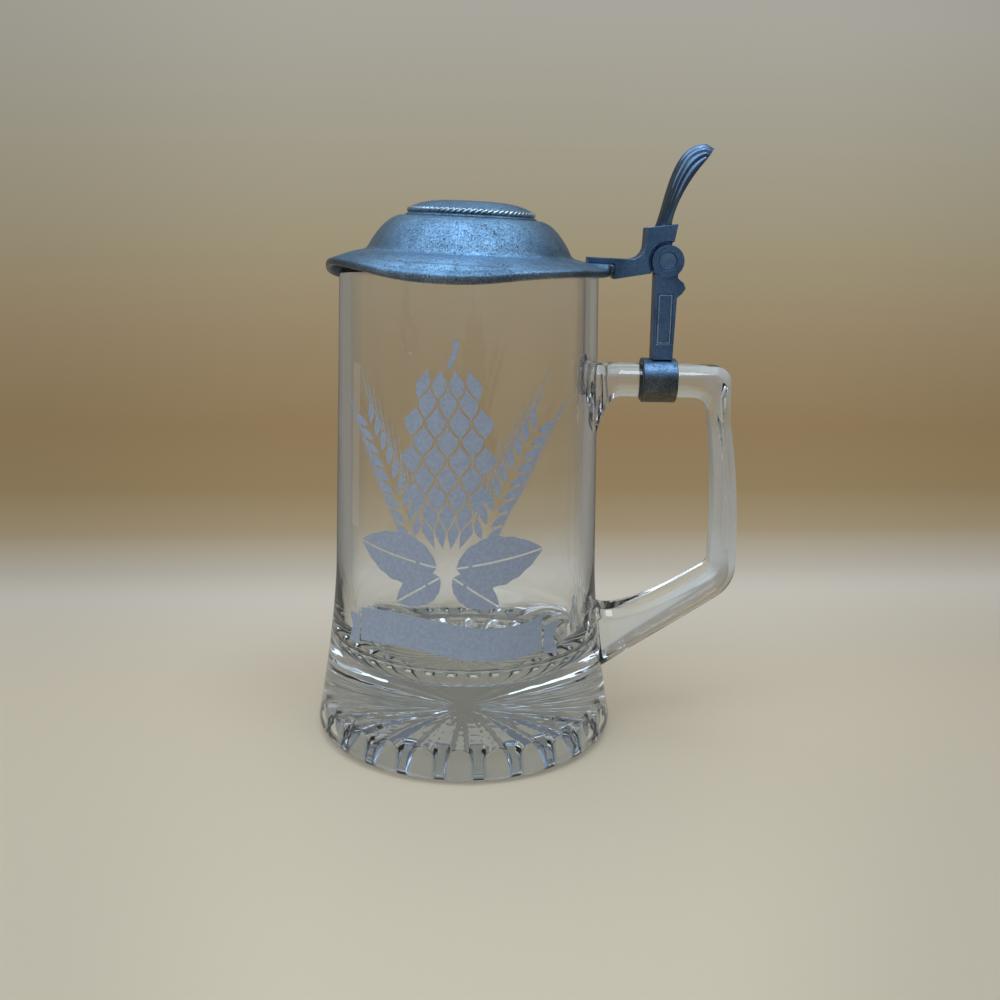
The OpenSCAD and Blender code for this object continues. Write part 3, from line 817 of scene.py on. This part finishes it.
def hop_cone(top, height, width):
    """A hop cone: staggered rows of pointed scales inside an egg-shaped outline."""
    patches = []
    step = height / (CONE_ROWS + 1)

    def swell(v):
        """Share of the full width at a height."""
        return math.sin(math.pi * (0.14 + 0.78 * (top[1] - v) / height)) ** 0.9

    for row in range(CONE_ROWS):
        v = top[1] - step * (row + 0.9)
        for p in ((-1, 0, 1) if row % 2 else (-1.5, -0.5, 0.5, 1.5)):
            grid = []
            for t in np.linspace(0, 1, 17):
                at = v + step * (1 - 2 * t)
                full = (2 * t) ** 1.8 if t < 0.5 else 1 - (2 * t - 1) ** 1.8
                half = width / 8 * max(0.01, full - 0.13) * swell(at)
                mid = top[0] + p * width / 4 * swell(at)
                grid.append([(mid + s * half, at) for s in np.linspace(-1, 1, 5)])
            patches.append(grid)
    patches.append(strip((top[0] + 2.2, top[1] + 7), (top[0], top[1] - 1), lambda t: 0.9 - 0.2 * t, 0.6))
    return patches


def toothed_leaf(foot, angle, length, width):
    """A leaf in two halves with a clear midrib and a toothed edge."""
    def half(t):
        """Half width at a share of the length."""
        saw = 1 + 0.16 * abs((t * LEAF_TEETH) % 1 - 0.5)
        return width / 2 * saw * max(0.02, math.sin(math.pi * t ** 0.8) ** 0.8)
    tip = turned(foot, angle, length)
    rows = 26
    right = strip(foot, tip, half, 0, rows, LEAF_RIB)
    left = [[2 * (np.array(foot) + (np.array(tip) - foot) * t) - q for q in reversed(row)]
            for t, row in zip(np.linspace(0, 1, rows), right)]
    return [right, left]


def ribbon(left, right, middle, half):
    """A plain waving ribbon with two cut ends."""
    lanes = np.linspace(-1, 1, 5)

    def centre(u):
        """Height of the ribbon's middle."""
        return middle + RIBBON_WAVE * math.sin(2 * math.pi * (u - left) / (right - left))

    patches = [[[(u, centre(u) + s * half) for s in lanes] for u in np.linspace(left, right, 48)]]
    for u, way in ((left, -1), (right, 1)):
        patches.append([[(u + way * (0.8 + RIBBON_TAIL * k - RIBBON_NOTCH * (1 - abs(s)) * k),
                          centre(u) - 2.2 + s * half * 0.9) for s in lanes] for k in np.linspace(0, 1, 6)])
    return patches


def print_patches():
    """The whole design: a hop cone between barley ears and leaves, over a ribbon."""
    u = PRINT_U
    patches = hop_cone((u, CONE_TOP), CONE_H, CONE_W)
    for way in (-1, 1):
        patches += barley_ear((u + way * EAR_OUT, EAR_FOOT), way * EAR_LEAN, EAR_L, way * EAR_BOW)
        for aside, v, angle, length, width in LEAVES:
            patches += toothed_leaf((u + way * aside, v), way * angle, length, width)
    return patches + ribbon(u - RIBBON_HALF, u + RIBBON_HALF, RIBBON_V, RIBBON_HALF_W)


def frosted_print(material):
    """All the patches, as thin closed shells on the outside of the glass."""
    verts, faces = [], []
    for grid in print_patches():
        rows = [[wrapped(*q, PRINT_LIFT) for q in row] + [wrapped(*q, PRINT_DEEP) for q in row[::-1]]
                for row in grid]
        points, sides = folded(rows)
        faces += [tuple(k + len(verts) for k in side) for side in sides]
        verts += points
    obj = mesh_object("frosted_print", verts, faces)
    return finish_piece(obj, "mug", material)


# Lid

def short_way(degrees):
    """Size of an angle, the short way round."""
    return abs((degrees + 180) % 360 - 180)


def dip(degrees):
    """Share of a full dip at an angle from its middle."""
    off = short_way(degrees)
    return math.cos(math.pi / 2 * off / DIP_SPAN) ** 2 if off < DIP_SPAN else 0.0


def brim_fall(degrees):
    """How far the brim is turned down at an angle from the handle."""
    return sum(deep * dip(degrees - at) for at, deep in DIPS)


def brim_line(section):
    """Points of one side of the brim."""
    return [(LID_R - inset, BRIM_H - drop, share) for inset, drop, share in section]


def lid_lines():
    """Half sections of the lid's two sides: radius, height over the seat, share of the brim's fall."""
    top = BRIM_H + DOME_H
    under = top - LID_WALL
    outer_r = DOME_R - LID_WALL / 2
    inner_r = DOME_R - 1.5 * LID_WALL
    foot_r = outer_r - 0.7
    dome = np.linspace(0, 1, 10)
    upper = [(0.4, top, 0), (FLAT_R * 0.5, top, 0), (FLAT_R - 1, top, 0)]
    upper += [(FLAT_R + (foot_r - FLAT_R) * u, top - (DOME_H - 1.3) * u * u, 0) for u in dome]
    upper += [(foot_r + 1.1, BRIM_H + 0.5, 0), (foot_r + 2.4, BRIM_H + 0.2, 0), *brim_line(BRIM_TOP)]
    lower = brim_line(BRIM_UNDER)
    lower += [(SKIRT_IN + 0.1, 0.5, 0.1), (SKIRT_IN, SEAT_UP - 0.1, 0), (SKIRT_IN - 0.4, SEAT_UP, 0),
              (DOME_R + 1, SEAT_UP, 0), (outer_r, SEAT_UP, 0), (outer_r - 0.5, SEAT_UP + 0.4, 0),
              (DOME_R - LID_WALL, SEAT_H, 0)]
    lower += [(FLAT_R + (inner_r - FLAT_R) * u, under - (DOME_H - LID_WALL / 2) * u * u, 0)
              for u in dome[::-1]]
    lower += [(FLAT_R - LID_WALL, under, 0), (FLAT_R * 0.5, under, 0), (0.4, under, 0)]
    return curve_through(upper, 4), curve_through(lower, 3)[1:]


def brim_height(r, h, share, degrees, over):
    """Height of a point of the brim once it is turned down; over the rim it stays above the glass."""
    z = h - share * brim_fall(degrees)
    if not over:
        return z
    free = min(1.0, max(0.0, (r - RIM_R - RIM_NEAR) / RIM_CLEARS))
    z = free * z + (1 - free) * max(z, min(h, RIM_COVER))
    if r < DOME_R + 1:
        return z
    # Solder runs up from the brim to the underside of the arm
    past = max(0.0, (r - LID_R + SOLDER_ROUND) / SOLDER_ROUND)
    full = BRIM_H - PAD_DROP - SOLDER_GAP - SOLDER_FALL * past ** 2
    near = min(1.0, max(0.0, (SOLDER_FAR - short_way(degrees)) / (SOLDER_FAR - SOLDER_NEAR)))
    return z + near * near * (3 - 2 * near) * max(0.0, full - z)


def lid_shell(material):
    """The hollow dome with its hand-bent brim."""
    upper, lower = lid_lines()
    turns = np.linspace(0, 360, 240, endpoint=False)
    rings = []
    for line, over in ((upper, True), (lower, False)):
        for r, h, share in line:
            far = min(1.0, max(0.0, (r - DOME_R) / (LID_R - DOME_R)))
            ring = []
            for degrees in turns:
                a = math.radians(degrees)
                wave = far * sum(size * math.sin(count * a + phase) for size, count, phase in BRIM_WAVES)
                bent = r - EDGE_WAVE[0] * far * (1 + math.sin(EDGE_WAVE[1] * a))
                z = brim_height(r, h, share, degrees, over)
                ring.append((bent * math.cos(a), bent * math.sin(a), SEAT_Z + z + wave))
            rings.append(tipped(ring))
    return finish_piece(mesh_object("lid_shell", *skin(rings)), "lid", material, ("lid",))


def lid_pad(material):
    """Solder pad between the brim and the arm."""
    low, high = SEAT_Z + PAD_LIFT, SEAT_Z + BRIM_H - PAD_DROP - PAD_SINK
    work = bmesh.new()
    bmesh.ops.create_cube(work, size=1.0)
    for v in work.verts:
        v.co = Vector(tipped([(PAD_IN + (PAD_OUT - PAD_IN) * (v.co.x + 0.5), TAB_W * v.co.y,
                               low + (high - low) * (v.co.z + 0.5))])[0]) * MM
    bmesh.ops.bevel(work, geom=work.edges[:], offset=PAD_ROUND * MM, segments=3, profile=0.5,
                    affect="EDGES")
    mesh = bpy.data.meshes.new("lid_pad")
    work.to_mesh(mesh)
    work.free()
    return finish_piece(placed("lid_pad", mesh), "lid", material, ("lid",))


def medallion_disc(material):
    """Disc on top of the lid: a sloped edge and a flattened cap."""
    section = [(0.3, 0), (DISC_R * 0.5, 0)] + [(DISC_R - inset, h) for inset, h in EDGE_FOOT]
    section += [(DISC_R - EDGE_IN + 0.4, EDGE_H - 0.08), (DISC_R - EDGE_IN, EDGE_H)]
    section += [(CAP_R * u, DISC_H - (DISC_H - CAP_LOW) * u ** 4) for u in np.linspace(1, 0.3 / CAP_R, 30)]
    turns = np.linspace(0, 2 * math.pi, 160, endpoint=False)
    rings = [tipped([(r * math.cos(a), r * math.sin(a), FLAT_Z + h) for a in turns]) for r, h in section]
    obj = mesh_object("medallion_disc", *skin(rings))
    return finish_piece(obj, "lid", material, ("lid_medallion",))


def medallion_rope(material):
    """Twisted rope round the disc, over its edge."""
    rings = []
    for a in np.linspace(0, 2 * math.pi, ROPE_RIDGES * 12, endpoint=False):
        ring = []
        for b in np.linspace(0, 2 * math.pi, 24, endpoint=False):
            ridge = abs(math.cos((ROPE_STRANDS * b - ROPE_RIDGES * a) / 2))
            swell = BEAD_R * (ROPE_CORE + (1 - ROPE_CORE) * ridge ** ROPE_ROUND)
            r = BEAD_AT + swell * math.cos(b)
            ring.append((r * math.cos(a), r * math.sin(a), FLAT_Z + EDGE_H + BEAD_R + swell * math.sin(b)))
        rings.append(tipped(ring))
    obj = mesh_object("medallion_rope", *skin(rings, looped=True))
    return finish_piece(obj, "lid", material, ("lid_medallion",), 60)


def cubic(a, b, c, d, t):
    """A point of the cubic curve from a to d that bends toward b and c."""
    a, b, c, d = (np.array(p, float) for p in (a, b, c, d))
    return (1 - t) * quad(a, b, c, t) + t * quad(b, c, d, t)


def leaf_lines(short, n=28):
    """Back and front curves of one line along the thumb-lift, both from its root to its tip."""
    half = LIFT_ROOT / 2
    foot = half * math.tan(BLOCK_SLOPE)
    shares = np.linspace(0, 1, n)
    down = [(LIFT_LEAN * a, LIFT_H * b) for a, b in LIFT_FRONT]
    front = [cubic(*down, (half, foot), 1 - (1 - short) * t) for t in shares]
    x, h = front[-1][0], front[-1][1] / LIFT_FRONT[0][1]
    up = [(x * a, h * b) for a, b in LIFT_BACK]
    back = [cubic((-half, -foot), *up, t) for t in shares]
    return back, front


def thumb_shell(material):
    """Thumb-lift: a scallop shell whose flutes spread from the root, lower toward the sides."""
    root_x = HINGE.x + BLOCK_OUT - LIFT_ROOT / 2 - LIFT_IN
    root_z = HINGE.z + BLOCK_UP - (LIFT_ROOT / 2 + LIFT_IN) * math.tan(BLOCK_SLOPE)
    per_flute = 10
    rows = []
    for share in np.linspace(-1, 1, LIFT_N * per_flute + 1):
        at = abs(share) * LIFT_N / 2
        near = math.floor(at + 0.5)
        off = abs(2 * (at - near))
        short = FLUTE_STEP * near + FLUTE_STEP * 0.5 * off ** 4 * (1 if at > near else -1)
        back, front = leaf_lines(max(short, 0) + GROOVE_TIP * off ** 3)
        turn = LIFT_SIDE * share
        backs, fronts = [], []
        for k, (b, f) in enumerate(zip(back, front)):
            grown = math.sin(math.pi / 2 * min(1.0, GROOVE_GROWS * k / len(back)))
            keep = 1 - FLUTE_DEEP * off ** 3 * grown
            x, z = f + (b - f) * math.cos(turn) * keep
            spread = min(1.0, max(0.0, (f[1] - FAN_FROM) / (FAN_TO - FAN_FROM)))
            half_w = (LIFT_ROOT_W + (LIFT_W - LIFT_ROOT_W) * spread * (2 - spread)) / 2
            y = half_w * keep * math.sin(turn) / math.sin(LIFT_SIDE)
            backs.append((root_x + x, y, root_z + z))
            fronts.append((root_x + f[0], y, root_z + f[1]))
        rows.append(tipped(backs + fronts[::-1]))
    obj = mesh_object("thumb_shell", *folded(rows))
    return finish_piece(obj, "lid", material, ("thumb_lift",), 50)


def sunk_pin(material):
    """Hinge pin, its dished ends a little below the knuckles' faces."""
    end = PIN_HALF - PIN_SUNK
    half = [(0.2, end - PIN_DISH)] + [(PIN_R * a, end - PIN_DISH * b) for a, b in PIN_FACE]
    half += [(PIN_R - inset, end - down) for inset, down in PIN_EDGE]
    section = half + [(r, -y) for r, y in reversed(half)]
    turns = np.linspace(0, 2 * math.pi, 72, endpoint=False)
    rings = [[(HINGE.x + r * math.cos(a), y, HINGE.z + r * math.sin(a)) for a in turns] for r, y in section]
    obj = mesh_object("sunk_pin", *skin(rings))
    return finish_piece(obj, "mug", material, ("hinge_pin",))


def ring_band(material):
    """Ring bent round the handle's bar, its corners softly turned and its rims broken."""
    grow = 2 - math.sqrt(2)
    rings = []
    for x, out in ((0, RING_T - RING_RIM), (RING_RIM, RING_T), (RING_W - RING_RIM, RING_T),
                   (RING_W, RING_T - RING_RIM), (RING_W, RING_FIT), (0, RING_FIT)):
        section = octagon(BAR_H / 2 + out, BAR_W / 2 + out, BEVEL + out * grow,
                          RING_SOFT if out > RING_FIT else EDGE_ROUND, 7)
        rings.append([(RING_X - RING_W / 2 + x, y, BAR_Z + z) for y, z in section])
    obj = mesh_object("ring_band", *skin(rings, looped=True))
    return finish_piece(obj, "mug", material, ("handle_ring",), 35)


def panel_border(material):
    """Thin raised border in the sunk panel of the post."""
    ring_top = BAR_Z + BAR_H / 2 + RING_T
    low_z = ring_top + PANEL_UP
    high_z = low_z + PANEL_SHARE * (HINGE.z - 0.7 * KNUCKLE_R - ring_top)
    half = POST_FOOT_W / 2 - PANEL_EDGE
    rings = []
    for inset, deep in BORDER:
        x, low, high = half - inset, low_z + inset, high_z - inset
        corners = ((-x, low), (x, low), (x, high), (-x, high))
        rings.append([(HINGE.x + side, deep - POST_T / 2, z) for side, z in corners])
    obj = mesh_object("panel_border", *skin(rings, looped=True))
    return finish_piece(obj, "mug", material)


def dress(node, material, width):
    """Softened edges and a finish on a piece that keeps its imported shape."""
    obj = frame["nodes"][node]
    obj.data.materials.clear()
    obj.data.materials.append(material)
    weld = obj.modifiers.new("weld", "WELD")
    weld.merge_threshold = 0.01 * MM
    soft = obj.modifiers.new("soft_edges", "BEVEL")
    soft.width = width * MM
    soft.segments = 3
    soft.limit_method = "ANGLE"
    soft.angle_limit = math.radians(32)
    soft.use_clamp_overlap = True
    even = obj.modifiers.new("normals", "WEIGHTED_NORMAL")
    even.keep_sharp = True
    return obj


# Stage, lamps and camera

def srgb(*levels):
    """Linear colour of levels read from 0 to 255."""
    linear = [(c / 255 / 12.92) if c < 10.5 else ((c / 255 + 0.055) / 1.055) ** 2.4 for c in levels]
    return (*linear, 1.0)


def backdrop_material():
    """Pale matt floor running into a glowing backdrop, its painted light set by height and falling off
    aside, clear from behind.
    """
    mat = bpy.data.materials.new("backdrop")
    mat.use_nodes = True
    tree = mat.node_tree
    tree.nodes.clear()
    place = add(tree, "ShaderNodeNewGeometry")
    split = add(tree, "ShaderNodeSeparateXYZ", {"Vector": place.outputs["Position"]})
    ramp = add(tree, "ShaderNodeValToRGB",
               {"Fac": across(tree, split.outputs["Z"], (0, RAMP_TOP))})
    ramp.inputs["Fac"].links[0].from_node.interpolation_type = "LINEAR"
    bar = ramp.color_ramp
    while len(bar.elements) < len(WALL_TONES):
        bar.elements.new(0.5)
    for element, (height, tone) in zip(bar.elements, WALL_TONES):
        element.position = height / RAMP_TOP
        element.color = srgb(*tone)
    aside = add(tree, "ShaderNodeMath", {0: split.outputs["X"]}, operation="ABSOLUTE").outputs[0]
    bounce_tone = blend_colour(tree, across(tree, aside, BOUNCED_SPAN),
                               srgb(*BOUNCED_NEAR), srgb(*BOUNCED_FAR))
    path = add(tree, "ShaderNodeLightPath")
    bounces = path.outputs["Glossy Depth"]
    bounce_tone = blend_colour(tree, between(tree, bounces, 1, 3), bounce_tone, srgb(*BOUNCED_OFTEN))
    passes = path.outputs["Transmission Depth"]
    one_bar = add(tree, "ShaderNodeMath", {0: passes, 1: ONE_BAR, 2: ONE_BAR_NEAR},
                  operation="COMPARE").outputs[0]
    cool = across(tree, split.outputs["Z"], COOL_SPAN, *COOL_SHARES)
    seen = blend_colour(tree, combine(tree, "MULTIPLY", one_bar, cool), ramp.outputs["Color"],
                        srgb(*COOL_TONE))
    tone = blend_colour(tree, combine(tree, "MINIMUM", bounces, BOUNCED_MOST), seen, bounce_tone)
    ahead = combine(tree, "ADD", split.outputs["Y"], FALL_FROM * MM)
    aslant = combine(tree, "DIVIDE", split.outputs["X"], ahead)
    off = add(tree, "ShaderNodeMath", {0: combine(tree, "SUBTRACT", aslant, FALL_MIDDLE)},
              operation="ABSOLUTE").outputs[0]
    fall = between(tree, off, *FALL_SPAN, 1.0, FALL_TO)
    # The backdrop glows with painted light, dimmed to the sides; the floor's colour is darkened to the
    # sides as painted shade
    wall = add(tree, "ShaderNodeEmission", {"Color": tone, "Strength": fall})
    floor_tone = add(tree, "ShaderNodeVectorMath", {0: srgb(*FLOOR_TONE)[:3], "Scale": fall},
                     operation="SCALE")
    floor = add(tree, "ShaderNodeBsdfDiffuse", {"Color": floor_tone.outputs[0]})
    behind = add(tree, "ShaderNodeMath", {0: split.outputs["X"], 1: -WALL_SKEW, 2: split.outputs["Y"]},
                 operation="MULTIPLY_ADD").outputs[0]
    far = across(tree, behind, WALL_SPAN)
    lit = add(tree, "ShaderNodeMixShader", {0: far, 1: floor.outputs[0], 2: wall.outputs[0]})
    clear = add(tree, "ShaderNodeBsdfTransparent")
    shown = add(tree, "ShaderNodeMixShader",
                {0: place.outputs["Backfacing"], 1: lit.outputs[0], 2: clear.outputs[0]})
    add(tree, "ShaderNodeOutputMaterial", {"Surface": shown.outputs[0]})
    return mat


def stage():
    """Floor and backdrop in one sheet."""
    line = [(-STAGE_HALF, 0.0)] + [(y, 0.0) for y in np.linspace(FLOOR_NEAR, COVE_Y, 12)]
    line += [(COVE_Y + COVE_R * math.sin(a), COVE_R * (1 - math.cos(a)))
             for a in np.linspace(0, math.pi / 2, 40)[1:]]
    line += [(COVE_Y + COVE_R, z) for z in np.linspace(COVE_R, STAGE_HALF / 2, 20)[1:]]
    verts, faces = [], []
    for y, z in line:
        verts += [(x * MM, (y + WALL_SKEW * x) * MM, z * MM) for x in (-STAGE_HALF, STAGE_HALF)]
    for i in range(len(line) - 1):
        faces.append((2 * i, 2 * i + 1, 2 * i + 3, 2 * i + 2))
    mesh = bpy.data.meshes.new("backdrop")
    mesh.from_pydata(verts, [], faces)
    mesh.shade_smooth()
    mesh.materials.append(backdrop_material())
    obj = placed("backdrop", mesh)


def lamp(name, at, target, size, power, colour, through=True, tall=1.0):
    """A soft lamp turned to its target, tall times as high as wide; through: glass shows it."""
    data = bpy.data.lights.new(name, "AREA")
    data.shape = "RECTANGLE"
    data.size = size * MM
    data.size_y = size * tall * MM
    data.energy = power
    data.color = colour
    obj = placed(name, data)
    obj.visible_transmission = through
    obj.location = Vector(at) * MM
    obj.rotation_euler = (Vector(target) - Vector(at)).to_track_quat("-Z", "Y").to_euler()


def world():
    """Even pale light from all round, paler overhead."""
    new = bpy.data.worlds.new("tent")
    new.use_nodes = True
    tree = new.node_tree
    tree.nodes.clear()
    where = add(tree, "ShaderNodeTexCoord").outputs["Generated"]
    up = add(tree, "ShaderNodeSeparateXYZ", {"Vector": where}).outputs["Z"]
    tone = blend_colour(tree, between(tree, up, *TENT_SPAN), (*TENT_LOW, 1), (*TENT_HIGH, 1))
    light = add(tree, "ShaderNodeBackground", {"Color": tone, "Strength": 1.0})
    add(tree, "ShaderNodeOutputWorld", {"Surface": light.outputs[0]})
    bpy.context.scene.world = new


def camera():
    """The camera at the photograph's viewpoint."""
    data = bpy.data.cameras.new("camera")
    data.lens = CAMERA_LENS
    data.sensor_width = 36.0
    data.clip_start = 0.01
    obj = placed("camera", data)
    turn = Matrix.Rotation(math.pi / 2 - CAMERA_DOWN, 4, "X") @ Matrix.Rotation(CAMERA_ROLL, 4, "Z")
    obj.matrix_world = Matrix.Translation(CAMERA_AT * MM) @ turn
    bpy.context.scene.camera = obj


# Metals: colour of the sides, painted highlight colour facing up, roughness, depth of the grain, mottling,
# painted light colour below
lid_metal = pewter("pewter", (0.15, 0.195, 0.245), (0.18, 0.315, 0.48), 0.34, 0.14, 0.37,
                   (0.42, 0.42, 0.41))
# Paler, smoother copy of the pewter: a painted highlight on the rope and on the panel's border
painted_highlight_metal = pewter("painted_highlight_pewter", (0.36, 0.51, 0.65), (0.62, 0.82, 0.96), 0.22, 0.04, 0.25)
hinge_metal = pewter("dark_pewter", (0.098, 0.185, 0.35), (0.115, 0.205, 0.355), 0.34, 0.06, 0.17)
lift_metal = pewter("lift_pewter", (0.082, 0.122, 0.185), (0.115, 0.185, 0.30), 0.27, 0.012, 0.10)
ring_metal = pewter("ring_pewter", (0.115, 0.135, 0.16), (0.12, 0.20, 0.315), 0.32, 0.06, 0.3,
                    (0.20, 0.175, 0.13))
pin_metal = pewter("pin_pewter", (0.15, 0.27, 0.48), (0.19, 0.34, 0.56), 0.30, 0.05, 0.15)
glass_mug(clear_glass())
frosted_print(frosted())
lid_shell(lid_metal)
lid_pad(lid_metal)
medallion_disc(lid_metal)
medallion_rope(painted_highlight_metal)
ring_band(ring_metal)
sunk_pin(pin_metal)
for node, width in (("hinge_post", 0.5), ("lid_arm", 0.45)):
    dress(node, hinge_metal, width)
panel_border(painted_highlight_metal)
thumb_shell(lift_metal)
stage()
lamp("top", (-60, -20, 760), (0, 0, 60), 800, 3.3, (0.62, 0.83, 1.0))
lamp("key", (-560, -480, 520), (0, 0, 80), 560, 1.5, (0.80, 0.90, 1.0))
lamp("window", (140, -170, 720), (60, 0, 120), 150, 0.5, (0.80, 0.92, 1.0))
lamp("back", (-20, 240, 480), (0, -40, 155), 320, 0.42, (0.70, 0.86, 1.0), False)
lamp("strip", (-314, 80, 52), (0, 0, 60), 60, 0.008, (1.0, 0.97, 0.88), False, 1.6)
world()
camera()
bpy.context.scene.view_settings.view_transform = "Standard"
